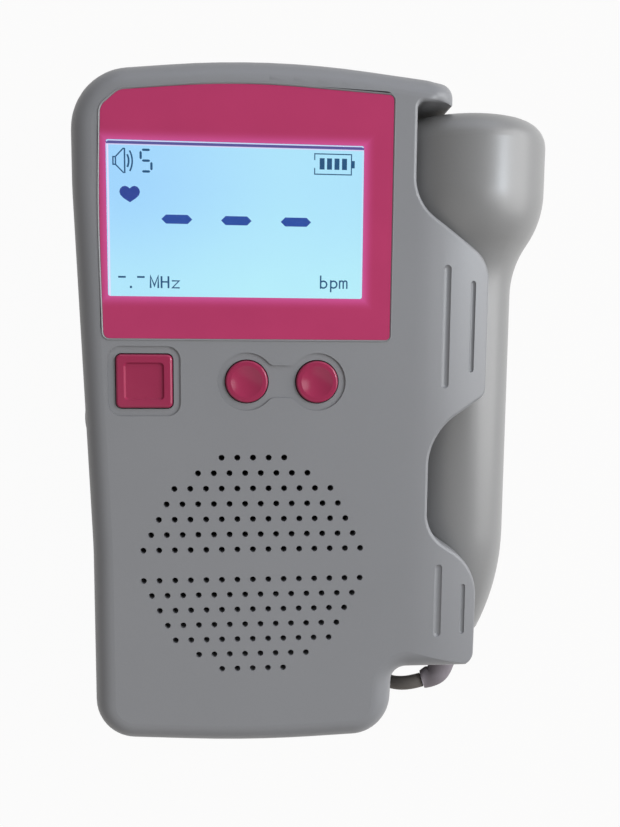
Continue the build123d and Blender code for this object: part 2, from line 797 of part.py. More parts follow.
# ---------------------------------------------------------------- sockets
def make_jack():
    """A headphone socket whose neck goes through the left wall."""
    body = block(jack_x0 + jack_neck - 1, jack_x0 + jack_len, jack_y - jack_w / 2, jack_y + jack_w / 2,
                 main_board_top_z, main_board_top_z + jack_h)
    body += rod(jack_x0, jack_x0 + jack_neck, jack_y, jack_z, jack_neck_r)
    return body - rod(jack_x0 - 1, jack_x0 + jack_len + 1, jack_y, jack_z, jack_r)


def make_outlet():
    """The rubber grommet where the cable enters the main block."""
    x1 = right_x + outlet_out
    with BuildLine() as path:
        Polyline((outlet_inner_x, 0), (outlet_inner_x, outlet_r - outlet_gap),
                 (right_x + outlet_gap, outlet_r - outlet_gap), (x1, cable_r + outlet_lip), (x1, 0), close=True)
    form = revolve(make_face(path.edges()), Axis.X)
    return Pos(0, outlet_y, outlet_z) * (form - rod(0, far, 0, 0, cable_r))


# ---------------------------------------------------------------- probe parts
face_back_y = head_top_y - probe_wall - face_depth
probe_screw_end = handle_r - probe_wall - 1.5


def along_axis(r, y0, y1):
    return Pos(0, (y0 + y1) / 2, 0) * Rot(90, 0, 0) * Cylinder(r, y1 - y0)


def half_shell(side):
    """One half of the probe's casing: side is 1 for the front and -1 for the rear."""
    casing = probe_body() - probe_body(-probe_wall)
    casing -= along_axis(face_r + face_gap, face_back_y, far)
    casing -= along_axis(boot_r + boot_gap, -far, tail_y + 2 * probe_wall)
    near, deep = sorted((0, side * handle_r))
    for y in probe_screw_ys:
        casing += drum(0, y, near, deep, probe_post_r) & probe_body(-probe_wall / 2)
    for y in probe_screw_ys:
        if side > 0:
            casing -= drum(0, y, -1, probe_screw_end, case_shank_r - shank_gap)
        else:
            casing -= drum(0, y, -handle_r, 1, case_shank_r)
            casing -= drum(0, y, -handle_r - 1, -handle_r + probe_head_depth, case_head_r)
    near, deep = sorted((0, side * far))
    return probe_place * (casing & block(-far, far, -far, far, near, deep))


def make_probe_screw(y):
    z = -handle_r + probe_head_depth
    return probe_place * make_screw(0, y, z, board_head_r, board_head_t, probe_screw_end - 1,
                                    case_shank_r - shank_gap)


def along_probe(r, y0, y1):
    return probe_place * along_axis(r, y0, y1)


def make_transducer_face():
    face = along_probe(face_r, face_back_y, head_top_y + face_proud)
    return face + along_probe(face_flange_r, face_back_y, face_back_y + face_flange)


def make_crystals():
    disc = along_probe(crystal_r, face_back_y - crystal_t - 0.1, face_back_y - 0.1)
    return disc - probe_place * block(-crystal_gap / 2, crystal_gap / 2, -far, far, -far, far)


def make_absorber():
    y1 = face_back_y - crystal_t - 0.2
    return along_probe(absorber_r, y1 - absorber_t, y1)


def make_probe_board():
    y0, y1 = probe_board_y - probe_board_len / 2, probe_board_y + probe_board_len / 2
    return probe_place * block(-probe_board_w / 2, probe_board_w / 2, y0, y1, -board_t / 2, board_t / 2)


def make_boot():
    """The soft boot that leads the cable out of the probe and bends it to the left."""
    tail = Vector(probe_x, tail_y, probe_z)
    path = FilletPolyline(*[tail + Vector(*p) for p in boot_route], radius=boot_bends)
    cuts = []
    for k in range(boot_sections):
        run = k / (boot_sections - 1)
        r = boot_r + (boot_tip_r - boot_r) * max(0.0, run - boot_straight) / (1 - boot_straight)
        cuts.append(Plane(origin=path @ run, x_dir=(0, 0, 1), z_dir=path % run) * Circle(r))
    y = tail_y + boot_route[0][1]
    flange = along_axis(boot_flange_r, y - boot_flange / 2, y + boot_flange / 2)
    return loft(cuts) + Pos(probe_x, 0, probe_z) * flange


# ---------------------------------------------------------------- cable
def tube(route, name):
    """A cable of straight runs joined by arcs, each as large as its runs allow."""
    points = [Vector(*p) for p in route]
    radii = []
    for a, b, c in zip(points, points[1:], points[2:]):
        short = min((b - a).length, (c - b).length)
        radii.append(0.45 * short / tan(radians((b - a).get_angle(c - b)) / 2))
    path = FilletPolyline(*points, radius=radii)
    cable = sweep(Plane(origin=path @ 0, z_dir=path % 0) * Circle(cable_r), path=path)
    full = pi * cable_r ** 2 * path.length
    print(name, "radii", [round(r, 1) for r in radii], "length", round(path.length, 1),
          "volume ratio", round(cable.volume / full, 4))
    return cable


def hank():
    """The outer shape of the folded cable: a long ring lying on the table."""
    outer = hank_fold_r[-1] + cable_r
    inner = hank_fold_r[0] - cable_r
    ring_face = SlotCenterToCenter(hank_run, 2 * outer) - SlotCenterToCenter(hank_run, 2 * inner)
    return prism(Pos(hank_x, hank_y) * Rot(0, 0, 90) * ring_face, hank_z, hank_z + hank_h)


def make_tie():
    half = hank_fold_r[-1] + cable_r + tie_gap
    y0, y1 = tie_y - tie_w / 2, tie_y + tie_w / 2
    top = hank_z + hank_h + tie_gap
    outside = block(hank_x - half - tie_t, hank_x + half + tie_t, y0, y1, 0.0, top + tie_t / 2)
    return outside - block(hank_x - half, hank_x + half, y0 - 1, y1 + 1, hank_z - tie_gap, top)


def largest(shape):
    return max(shape.solids(), key=lambda s: s.volume)


# ---------------------------------------------------------------- assembly
os.makedirs("parts", exist_ok=True)

save("front_shell", make_front_shell())
save("rear_shell", make_rear_shell())
save("battery_cover", make_battery_cover())

save("display_bezel", make_bezel())
save("display_pane", make_pane())
save("lcd_glass", view_plate(glass_margin, glass_top_z - glass_t, glass_top_z))
save("light_guide", view_plate(glass_margin, glass_top_z - glass_t - light_guide_t, glass_top_z - glass_t))
save("display_frame", make_display_frame())

save("mode_button", square_cap())
save("volume_down_button", round_cap(round_xs[0]))
save("volume_up_button", round_cap(round_xs[1]))
for name, x in (("mode", mode_x), ("volume_down", round_xs[0]), ("volume_up", round_xs[1])):
    base = block(x - switch_w / 2, x + switch_w / 2, button_y - switch_w / 2, button_y + switch_w / 2,
                 main_board_top_z, switch_top_z)
    hole = drum(x, button_y, main_board_top_z + 1, switch_top_z + 1, plunger_r + plunger_gap)
    save(name + "_switch", base - hole)
    save(name + "_plunger", drum(x, button_y, main_board_top_z + 1.2 + press, plunger_top_z, plunger_r))

save("main_board", make_main_board())
save("board_chips", Compound(children=[block(x - w / 2, x + w / 2, y - h / 2, y + h / 2, main_board_top_z,
                                             main_board_top_z + chip_h) for x, y, w, h in chips]))

save("speaker_gasket", ring(0, speaker_y, rim_top_z, speaker_top_z, speaker_r, speaker_r - gasket_w))
save("speaker_basket", make_basket())
save("speaker_cone", make_cone())
save("speaker_magnet", drum(0, speaker_y, magnet_low_z, rim_top_z - basket_depth, magnet_r))

save("battery_1", make_cell(-cell_x, 1))
save("battery_2", make_cell(cell_x, -1))
save("battery_plates", make_contacts())
save("battery_springs", Compound(children=[make_spring(x) for x in (-cell_x, cell_x)]))

save("headphone_jack", make_jack())
save("cable_outlet", make_outlet())
save("case_screws", Compound(children=[make_case_screw(x, y) for x, y in case_screw_spots]))
save("board_screws", Compound(children=[make_board_screw(x, y) for x, y in board_screw_spots]))

save("probe_front_casing", half_shell(1))
save("probe_rear_casing", half_shell(-1))
save("transducer_face", make_transducer_face())
save("crystal_pair", make_crystals())
save("absorber", make_absorber())
save("probe_board", make_probe_board())
save("probe_screws", Compound(children=[make_probe_screw(y) for y in probe_screw_ys]))
save("probe_boot", make_boot())

coil = hank()
save("cable_hank", coil)
save("cable_lead", largest(tube(lead_route, "lead") - coil))
save("cable_tail", largest(tube(tail_route, "tail") - coil))
save("cable_tie", make_tie())
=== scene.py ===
# %% [markdown]
# # A pocket fetal doppler, dressed
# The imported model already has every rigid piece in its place: the two housing
# shells, the lens, the buttons, the probe in its dock. This lesson gives each
# of them a finish, draws what the display shows, lays the probe's cable, and
# sets up a small daylight studio.

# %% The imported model
from math import atan2, cos, pi, radians, sin

import bmesh
import bpy
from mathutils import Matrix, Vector
from mathutils.geometry import intersect_line_line_2d


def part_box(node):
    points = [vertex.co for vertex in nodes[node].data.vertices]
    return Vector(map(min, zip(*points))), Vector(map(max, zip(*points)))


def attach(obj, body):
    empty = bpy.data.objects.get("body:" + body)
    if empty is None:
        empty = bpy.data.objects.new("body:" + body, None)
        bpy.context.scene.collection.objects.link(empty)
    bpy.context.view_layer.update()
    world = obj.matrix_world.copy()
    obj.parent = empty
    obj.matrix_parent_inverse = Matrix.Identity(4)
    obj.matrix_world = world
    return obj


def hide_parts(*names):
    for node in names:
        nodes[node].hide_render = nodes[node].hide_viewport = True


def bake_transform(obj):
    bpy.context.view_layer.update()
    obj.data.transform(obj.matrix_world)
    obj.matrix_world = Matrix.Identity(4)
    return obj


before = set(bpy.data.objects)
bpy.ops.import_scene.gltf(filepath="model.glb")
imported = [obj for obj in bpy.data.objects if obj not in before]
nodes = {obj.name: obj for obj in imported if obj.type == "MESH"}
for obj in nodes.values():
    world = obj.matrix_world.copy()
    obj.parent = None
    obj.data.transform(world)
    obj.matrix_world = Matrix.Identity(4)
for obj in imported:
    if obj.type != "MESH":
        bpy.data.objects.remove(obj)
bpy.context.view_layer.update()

MM = 0.001

# %% [markdown]
# ## The camera
# The unit lies on its back and the camera hangs above it, a little off the
# middle and slightly tilted, close enough for the sides to splay. Blender's
# lens and sensor are in millimetres, everything else is in metres.

# %% Camera
camera = bpy.data.objects.new("camera", bpy.data.cameras.new("camera"))
camera.location = Vector((-0.965, 16.646, 184.552)) * MM
camera.rotation_euler = [radians(a) for a in (-5.9831, -4.4845, 0.5057)]
camera.data.lens = 34.2259
camera.data.sensor_width = 36
camera.data.clip_start = 0.01
bpy.context.collection.objects.link(camera)
bpy.context.scene.camera = camera
print("camera", round(camera.location.z / MM), "mm above the table")

# %% [markdown]
# ## A material as a small expression
# A finish is mostly arithmetic on positions: how far from an edge, how deep
# in a groove. Wiring that by hand hides it, so `Wire` stands for one output
# of a node and lets Python's own operators add the Math nodes. `Finish` owns
# a material: `node` adds any other node, settings first, then its sockets.

# %% Wire and Finish


class Wire:
    """One output of a shader node, with arithmetic."""

    def __init__(self, finish, socket):
        self.finish, self.socket = finish, socket

    def math(self, operation, *values):
        return self.finish.node("Math", dict(enumerate(values)), operation=operation)

    def __add__(self, other):
        return self.math("ADD", self, other)

    def __sub__(self, other):
        return self.math("SUBTRACT", self, other)

    def __rsub__(self, other):
        return self.math("SUBTRACT", other, self)

    def __mul__(self, other):
        return self.math("MULTIPLY", self, other)

    def __abs__(self):
        return self.math("ABSOLUTE", self)

    def most(self, other):
        return self.math("MAXIMUM", self, other)

    __radd__ = __add__
    __rmul__ = __mul__


class Finish:
    """One material: a Principled shader and the nodes that feed it."""

    def __init__(self, name, **constants):
        self.material = bpy.data.materials.new(name)
        self.material.use_nodes = True
        self.tree = self.material.node_tree
        self.shader = self.tree.nodes["Principled BSDF"]
        for socket, value in constants.items():
            self.shader.inputs[socket.replace("_", " ")].default_value = value

    def node(self, kind, inputs, out=0, **settings):
        made = self.tree.nodes.new("ShaderNode" + kind)
        for setting, value in settings.items():
            setattr(made, setting, value)
        for socket, value in inputs.items():
            self.feed(made.inputs[socket], value)
        return Wire(self, made.outputs[out])

    def feed(self, socket, value):
        if isinstance(socket, str):
            socket = self.shader.inputs[socket]
        if isinstance(value, Wire):
            self.tree.links.new(value.socket, socket)
        else:
            socket.default_value = value

    def place(self):
        """The point in the object's own frame, in millimetres."""
        here = self.node("TexCoord", {}, out="Object")
        return self.node("VectorMath", {0: here, "Scale": 1 / MM}, operation="SCALE")

    def axes(self):
        place = self.place()
        return [self.node("SeparateXYZ", {0: place}, out=i) for i in range(3)]

    def grain(self, size, detail=2.0, stretch=(1, 1, 1)):
        """Noise between 0 and 1 with patches about this many mm across."""
        place = self.node("VectorMath", {0: self.place(), 1: stretch}, operation="MULTIPLY")
        return self.node("TexNoise", {"Vector": place, "Scale": 1 / size, "Detail": detail})

    def ease(self, value, low, high):
        """0 below low, 1 above high, and smooth between them."""
        return self.node(
            "MapRange", {"Value": value, "From Min": low, "From Max": high}, interpolation_type="SMOOTHSTEP"
        )

    def between(self, mask, first, second):
        """The first colour where the mask is 0, the second where it is 1."""
        return self.node("Mix", {0: mask, 6: first, 7: second}, out=2, data_type="RGBA")

    def relief(self, height, depth):
        """Bumps of this depth, in mm, where the height goes from 0 to 1."""
        self.feed("Normal", self.node("Bump", {"Height": height, "Distance": depth * MM}))


def linear(red, green, blue):
    """A colour as an image editor gives it, 0 to 255, as Blender wants it."""
    parts = [c / 255 for c in (red, green, blue)]
    return tuple(c / 12.92 if c <= 0.04045 else ((c + 0.055) / 1.055) ** 2.4 for c in parts) + (1.0,)


def shade(colour, times):
    return tuple(c * times for c in colour[:3]) + (1.0,)


def dress(finish, *names):
    """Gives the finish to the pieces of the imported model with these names."""
    for name in names:
        nodes[name].data.materials.clear()
        nodes[name].data.materials.append(finish.material)
    print(finish.material.name, "on", ", ".join(names))


print("a grey of 128 is", round(linear(128, 128, 128)[0], 3), "to Blender")

# %% [markdown]
# ## The cable
# A limp round cable 3 mm thick joins the probe to the housing. It comes out
# of the probe's rubber boot, drops to the table beside the main block, is put
# away as a flat hank under the dock, and goes back into the housing through a
# rubber outlet. It is one NURBS curve: its control points pull it into loose
# bends, with no corners. Each turn of the hank is two half circles and two
# straight runs; four control points round a half circle sit on its corner
# polygon, so the curve touches the circle between them.

# %% The cable's route
lead_route = [
    (37.7, -60.5, 18.3),
    (35.5, -61.3, 17.9),
    (32.9, -62.2, 16.2),
    (31.0, -62.9, 13.4),
    (30.2, -63.0, 10.4),
    (30.2, -62.6, 7.0),
    (30.3, -60.4, 3.8),
    (30.6, -56.6, 1.7),
    (31.6, -51.2, 1.7),
    (32.6, -45.0, 1.7),
    (32.5, -38.6, 1.7),
]
tail_route = [
    (56.5, -38.0, 4.6),
    (56.3, -44.6, 3.6),
    (53.8, -50.6, 2.0),
    (49.2, -55.0, 1.7),
    (43.9, -56.6, 3.4),
    (39.2, -56.7, 6.6),
    (35.2, -56.6, 8.7),
    (32.2, -56.6, 9.0),
]
hank_x, hank_y, hank_run = 44.5, -8.5, 50.0
run_hold = 9.0  # from a run's middle to its two control points
fold_points = 4
wide, narrow = 12.0, 9.0
low, high = 1.6, 4.65


def fold(end, places):
    """Four control points round a half circle; each place is (radius, z)."""
    points = []
    for i, (r, z) in enumerate(places):
        angle = pi * (1 - (2 * i + 1) / (2 * fold_points))
        corner = r / cos(pi / (2 * fold_points))
        y = hank_y + end * (hank_run / 2 + corner * sin(angle))
        points.append((hank_x + end * corner * cos(angle), y, z))
    return points


def run(side, r, z):
    """Two control points on a straight run, up the left side or down the right."""
    return [(hank_x + side * r, hank_y - side * y, z) for y in (-run_hold, run_hold)]


turns = [
    (wide, low, [(wide, low), (wide, low), (11.0, low), (9.2, low)]),
    (narrow, low, [(narrow, low), (narrow, 2.6), (narrow, 4.4), (narrow, high)]),
    (narrow, high, [(9.5, high), (wide, high), (wide, high), (wide, high)]),
    (wide, high, []),
]
hank_route = []
for r, z, way_down in turns:
    hank_route += run(-1, r, z) + fold(1, [(r, z)] * fold_points) + run(1, r, z) + fold(-1, way_down)
route = lead_route + hank_route + tail_route
print(len(route), "control points,", len(hank_route), "of them in the hank")

# %% [markdown]
# The cable becomes a mesh. The curve is read twice, once bare for its middle
# line and once with its thickness.

# %% The cable's mesh
cable_radius = 1.5


def nurbs(name, points, radius):
    """An open NURBS curve of order 3 through a list of points in mm."""
    curve = bpy.data.curves.new(name, "CURVE")
    curve.dimensions = "3D"
    curve.bevel_depth = radius * MM
    curve.bevel_resolution = 5
    curve.use_fill_caps = radius > 0
    spline = curve.splines.new("NURBS")
    spline.points.add(len(points) - 1)
    for point, (x, y, z) in zip(spline.points, points):
        point.co = (x * MM, y * MM, z * MM, 1)
    spline.order_u = 3
    spline.use_endpoint_u = True
    spline.resolution_u = 8
    return bpy.data.objects.new(name, curve)


middle = bpy.data.meshes.new_from_object(nurbs("cable_line", route, 0))
path = [tuple(v.co) for v in middle.vertices]
cable_length = sum((Vector(b) - Vector(a)).length for a, b in zip(path, path[1:]))

cable_mesh = bpy.data.meshes.new_from_object(nurbs("cable_form", route, cable_radius))
cable = bpy.data.objects.new("probe_cable", cable_mesh)
bpy.context.collection.objects.link(cable)
for face in cable.data.polygons:
    face.use_smooth = True
print("cable", round(cable_length, 3), "m,", len(cable.data.vertices), "points")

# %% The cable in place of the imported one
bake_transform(cable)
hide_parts("cable_lead", "cable_tail", "cable_hank")

# %% [markdown]
# ## Rubber
# The cable's jacket and the boot are matt rubber: dark, with a faint dusty
# bloom that lightens it in patches, and a very fine tooth that breaks up
# every highlight.

# %% Rubber finishes


def rubber(name, colour, roughness=0.62):
    finish = Finish(name, Specular_IOR_Level=0.35)
    dust = finish.grain(3.0, detail=4)
    finish.feed("Base Color", finish.between(dust, shade(colour, 0.85), shade(colour, 1.2)))
    finish.feed("Roughness", roughness + 0.12 * (dust - 0.5))
    finish.relief(finish.grain(0.25), 0.006)
    return finish


jacket = rubber("cable jacket", linear(110, 106, 102))
cable.data.materials.clear()
cable.data.materials.append(jacket.material)
dress(jacket, "cable_outlet", "cable_tie", "cable_lead", "cable_tail", "cable_hank")
dress(rubber("boot rubber", linear(128, 122, 128)), "probe_boot")
dress(rubber("probe face rubber", linear(172, 168, 160), 0.45), "transducer_face")
dress(rubber("backing rubber", linear(70, 68, 66)), "absorber")
dress(rubber("speaker gasket foam", linear(30, 30, 30), 0.85), "speaker_gasket")

# %% [markdown]
# ## The grey housing
# The housing is injection moulded in a cool grey with a fine spark-eroded
# texture: the tool's surface is a carpet of tiny pits, so it looks smooth
# from a distance and soft under a lamp. Two noises do it, one fine for the
# pits and one broad that shifts the tint and the gloss a little, as handling
# does. Where the two shells meet, a thin dark line is painted along the
# parting line as the shade of the gap between them.

# %% Housing plastic


def moulded(name, colour, roughness, pit=0.3, depth=0.006, parting=None, **constants):
    finish = Finish(name, **constants)
    broad = finish.grain(22.0, detail=3)
    pits = finish.grain(pit, detail=3)
    tint = finish.between(broad, shade(colour, 0.96), shade(colour, 1.04))
    tint = finish.between(0.25 * pits, tint, shade(colour, 0.8))
    if parting is not None:
        # painted shade: a thin dark line along the parting height, for the shaded gap between the shells
        z = finish.axes()[2]
        parting_shade = 1 - finish.ease(abs(z - parting), 0.08, 0.3)
        tint = finish.between(0.45 * parting_shade, tint, shade(colour, 0.25))
    finish.feed("Base Color", tint)
    finish.feed("Roughness", roughness + 0.1 * (broad - 0.5) + 0.08 * (pits - 0.5))
    finish.relief(pits, depth)
    return finish


housing_grey = linear(129, 130, 133)
housing_parting = 17.5  # the height at which the two shells meet
housing_plastic = moulded("housing plastic", housing_grey, 0.42, parting=housing_parting)
dress(housing_plastic, "front_shell", "rear_shell")
dress(moulded("battery cover plastic", housing_grey, 0.5), "battery_cover")
print("grey of the housing:", [round(c, 3) for c in housing_grey[:3]])

# %% [markdown]
# Every piece made from here on is closed, given its finish, and set on the
# housing, with which it moves; those built here are first told which way is
# out. Most are built from loops of points with a belt of faces between each two.

# %% Making a piece


def skin(mesh, one, two):
    """Joins two loops of as many points by a belt of faces."""
    for i in range(len(one)):
        mesh.faces.new((one[i - 1], one[i], two[i], two[i - 1]))


def piece_of(name, mesh, finish):
    """Makes the piece of this mesh, on the housing and with its finish."""
    data = bpy.data.meshes.new(name)
    mesh.to_mesh(data)
    mesh.free()
    data.materials.append(finish.material)
    piece = bpy.data.objects.new(name, data)
    bpy.context.collection.objects.link(piece)
    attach(piece, "housing")
    print(name, len(data.polygons), "faces")
    return piece


def placed(name, mesh, finish):
    """The same for a mesh built here, whose faces are first turned outwards."""
    bmesh.ops.recalc_face_normals(mesh, faces=mesh.faces)
    return piece_of(name, mesh, finish)


# %% [markdown]
# ### The hook's end
# The arm over the probe's head ends in a blunt, softly rounded nose. Copies of
# both shells lose the arm's last few millimetres, and one new piece carries it
# on. Its profile is taken from the cut itself, so the two meet without a step.
# It is repeated at stations along the arm and shrinks round a curve at the
# end, as a sanding block would leave it.

# %% Shells without the tip
cut_x, hook_low_y = 32.4, 58.6


def tipless(node, name):
    """Shows a copy of a shell that ends at the cut, and gives the cut's points as (y, z)."""
    shell = bmesh.new()
    shell.from_mesh(nodes[node].data)

    def in_tip(place):
        return place.x > cut_x * MM and place.y > hook_low_y * MM

    def on_cut(edge):
        return all(abs(v.co.x - cut_x * MM) < 1e-6 for v in edge.verts)

    near_tip = [f for f in shell.faces if any(in_tip(v.co) for v in f.verts)]
    parts = near_tip + list({e for f in near_tip for e in f.edges}) + list({v for f in near_tip for v in f.verts})
    bmesh.ops.bisect_plane(shell, geom=parts, plane_co=(cut_x * MM, 0, 0), plane_no=(1, 0, 0), dist=1e-7)
    tip = [f for f in shell.faces if in_tip(f.calc_center_median())]
    bmesh.ops.delete(shell, geom=tip, context="FACES")
    open_edges = [e for e in shell.edges if e.is_boundary and on_cut(e)]
    section = [(v.co.y / MM, v.co.z / MM) for e in open_edges for v in e.verts]
    bmesh.ops.triangle_fill(shell, use_beauty=True, edges=open_edges)
    print(name, len(tip), "faces cut away,", len(open_edges), "edges closed")
    case = piece_of(name, shell, housing_plastic)
    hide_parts(node)
    return section


section = tipless("front_shell", "front_case") + tipless("rear_shell", "rear_case")

# %% Hook end
hook_end_x = 38.2
arm_middle = Vector((62.0, housing_parting))
soft_middle = Vector((62.0, 29.5))
side_y, front_z, rear_z = 61.3, 28.0, 7.0  # the nose draws in towards these
under_room, outside_room, face_room = 1.7, 3.4, 7.0  # and over these distances
nose_radii = (0.8, 2.3, 5.0, 2.5)  # under, outside, front, rear
nose_length = 2.9
slope, slope_y, slope_fade = 0.104, 59.65, 0.5  # how the arm narrows outside
same_point = 0.03
ray_length = 20  # from the soft edge's middle, this reaches past the edge
station_gap, soft_steps = 0.3, 9
soft_edge = [(59.6, 29.5), (59.6, 32.8), (59.68, 33.5), (59.87, 34.05), (60.17, 34.5), (60.6, 34.8), (61.2, 34.9)]
soft_edge += [(61.9, 34.74), (62.55, 34.3), (63.15, 33.64), (63.7, 32.74), (64.2, 31.6), (64.5, 29.5)]


def turned(point):
    """The angle of a point of the section round the arm's middle."""
    way = Vector(point) - arm_middle
    return atan2(way.y, way.x)


def softened(point):
    """Where the soft edge lies in the direction of this point of the section."""
    way = (Vector(point) - soft_middle).normalized() * ray_length
    for start, end in zip(soft_edge, soft_edge[1:]):
        met = intersect_line_line_2d(soft_middle, soft_middle + way, Vector(start), Vector(end))
        if met and point[1] > soft_middle.y:
            return met
    return Vector(point)


def rounding(radius, distance):
    """How far a rounded end of this radius has drawn in, this far from its tip."""
    return radius - (max(0.0, radius**2 - max(0.0, radius - distance) ** 2)) ** 0.5


profile = []
for point in sorted(section, key=turned):
    if not profile or (Vector(point) - Vector(profile[-1])).length > same_point:
        profile.append(point)
if (Vector(profile[0]) - Vector(profile[-1])).length < same_point:
    profile.pop()

# Each station is (x, how soft the front edge is there).
stations = [(cut_x + station_gap * i, 0.5 - 0.5 * cos(pi * i / soft_steps)) for i in range(soft_steps + 1)]
stations += [(hook_end_x - nose_length * (1 - sin(radians(a))), 1.0) for a in range(0, 91, 6)]
arm_end = bmesh.new()
loops = []
for x, soft in stations:
    under, outside, front, rear = (rounding(r, hook_end_x - x) for r in nose_radii)
    loop = []
    for point in profile:
        y, z = Vector(point).lerp(softened(point), soft)
        y -= slope * (x - cut_x) * min(1.0, max(0.0, y - slope_y) / slope_fade)
        drawn = under / under_room if y < side_y else outside / outside_room
        y = side_y + (y - side_y) * (1 - drawn)
        if z > front_z:
            z = front_z + (z - front_z) * (1 - front / face_room)
        if z < rear_z:
            z = rear_z + (z - rear_z) * (1 - rear / face_room)
        loop.append(arm_end.verts.new((x * MM, y * MM, z * MM)))
    loops.append(loop)
for one, two in zip(loops, loops[1:]):
    skin(arm_end, one, two)
for loop in (loops[0], loops[-1]):
    arm_end.faces.new(loop)
    for i in range(len(loop)):
        arm_end.edges.get((loop[i - 1], loop[i])).smooth = False
hook = placed("hook_end", arm_end, housing_plastic)
for face in hook.data.polygons:
    face.use_smooth = True
print(len(profile), "points round the arm's section")

# %% [markdown]
# ## The probe
# The probe is moulded in a slightly warmer grey and polished smoother than
# the housing, so the lamp leaves a long soft highlight down its head.

# %% Probe plastic
probe_grey = linear(130, 130, 130)
probe_parting = 19.0
probe_polish = dict(pit=0.4, depth=0.003, Coat_Weight=0.2, Coat_Roughness=0.3)
# the probe's shells meet at probe_parting, and the same painted shade darkens a thin line there
probe_plastic = moulded("probe plastic", probe_grey, 0.36, parting=probe_parting, **probe_polish)
dress(probe_plastic, "probe_front_casing", "probe_rear_casing")
print("grey of the probe:", [round(c, 3) for c in probe_grey[:3]])

# %% [markdown]
# ## The pink lens and the buttons
# The lens is a plate of pink plastic round the window. The backlight leaks
# into it and makes a magenta glow that fades over a few millimetres, which is
# an emission colour here: the distance from the window's edge, eased to
# nothing. The distance to a rectangle is the larger of the two overshoots.

# %% Lens pink
window = dict(x=-3.1, y=37.0, half_w=23.4, half_h=13.8)
glow_width = 3.0
glow_far, glow_near = (0.01, 0.001, 0.008, 1), (0.20, 0.05, 0.18, 1)


def beyond(finish, x, y, half_w, half_h):
    """How far outside a rectangle a point is, in mm; below 0 inside it."""
    px, py, _ = finish.axes()
    return (abs(px - x) - half_w).most(abs(py - y) - half_h)


def glossy_pink(name, pink, glow):
    gloss = dict(Specular_IOR_Level=0.3, Coat_Weight=0.15, Coat_Roughness=0.12)
    finish = Finish(name, Emission_Strength=1.0, **gloss)
    cloud = finish.grain(9.0, detail=2)
    finish.feed("Base Color", finish.between(cloud, shade(pink, 0.94), shade(pink, 1.06)))
    finish.feed("Roughness", 0.22 + 0.08 * (cloud - 0.5))
    if glow:
        near = 1 - finish.ease(beyond(finish, **window), 0.0, glow_width)
        finish.feed("Emission Color", finish.between(near * near, glow_far, glow_near))
    else:
        finish.feed("Emission Color", (0, 0, 0, 1))
    finish.relief(finish.grain(0.5, detail=1), 0.0015)
    return finish


lens_pink = glossy_pink("lens plastic", linear(172, 54, 95), True)
dress(lens_pink, "display_bezel")
button_pink = glossy_pink("button plastic", linear(148, 42, 76), False)
dress(button_pink, "mode_button", "volume_down_button", "volume_up_button")
print("the glow ends", glow_width, "mm from the window")

# %% [markdown]
# The lens itself is a plate let into the housing, with a thin lip that lies on
# the housing round it: two closed bodies, one above the face and one below.
# Each outline is a polygon with rounded corners; the long arch of its top edge
# is one corner with a very large radius. Extruding such an outline by hand,
# loop by loop, keeps its bevel even and its mesh closed.

# %% Rounded outlines
lens_corners = [
    (-27.75, 15.1, 1.1),
    (26.05, 15.15, 0.8),
    (26.1, 60.38, 1.0),
    (-2.9, 61.94, 150.0),
    (-24.3, 59.85, 3.0),
    (-27.68, 56.9, 2.6),
    (-28.2, 38.0, 300.0),
]
seat_corners = [(-28.0, 15.7, 1.6), (26.0, 15.7, 1.6), (26.0, 60.2, 1.6), (1.5, 61.3, 220.0), (-28.0, 59.6, 9.5)]
hole_corners = [(-26.8, 22.9, 0.4), (20.6, 22.9, 0.4), (20.6, 51.1, 0.4), (-26.8, 51.1, 0.4)]


def outline(corners, steps=8):
    """The points of a polygon whose corners (x, y, radius) are rounded off."""
    points = []
    for i, (x, y, radius) in enumerate(corners):
        corner = Vector((x, y))
        before = (Vector(corners[i - 1][:2]) - corner).normalized()
        after = (Vector(corners[(i + 1) % len(corners)][:2]) - corner).normalized()
        half = before.angle(after) / 2
        middle = corner + (before + after).normalized() * radius / sin(half)
        first = corner + before * radius * cos(half) / sin(half) - middle
        turn = (pi - 2 * half) * (1 if before.cross(after) < 0 else -1)
        for k in range(steps + 1):
            c, s = cos(turn * k / steps), sin(turn * k / steps)
            points.append((middle.x + first.x * c - first.y * s, middle.y + first.x * s + first.y * c))
    return points


def grown(points, by):
    """The same outline, moved outwards by so many mm."""
    moved = []
    for i, point in enumerate(points):
        way = Vector(points[(i + 1) % len(points)]) - Vector(points[i - 1])
        aside = Vector((way.y, -way.x)).normalized() * by
        moved.append((point[0] + aside.x, point[1] + aside.y))
    return moved


def walls(mesh, points, levels, closed=False):
    """Loops of the outline at (growth, height) levels, joined by faces."""
    loops = [[mesh.verts.new((x * MM, y * MM, z * MM)) for x, y in grown(points, by)] for by, z in levels]
    for one, two in zip(loops, loops[1:]):
        skin(mesh, one, two)
    if closed:
        skin(mesh, loops[-1], loops[0])
    return loops[0], loops[-1]


def cap(mesh, *loops):
    """Fills the flat ring between two loops."""
    edges = [mesh.edges.get((loop[i - 1], loop[i])) for loop in loops for i in range(len(loop))]
    bmesh.ops.triangle_fill(mesh, use_beauty=True, edges=edges)


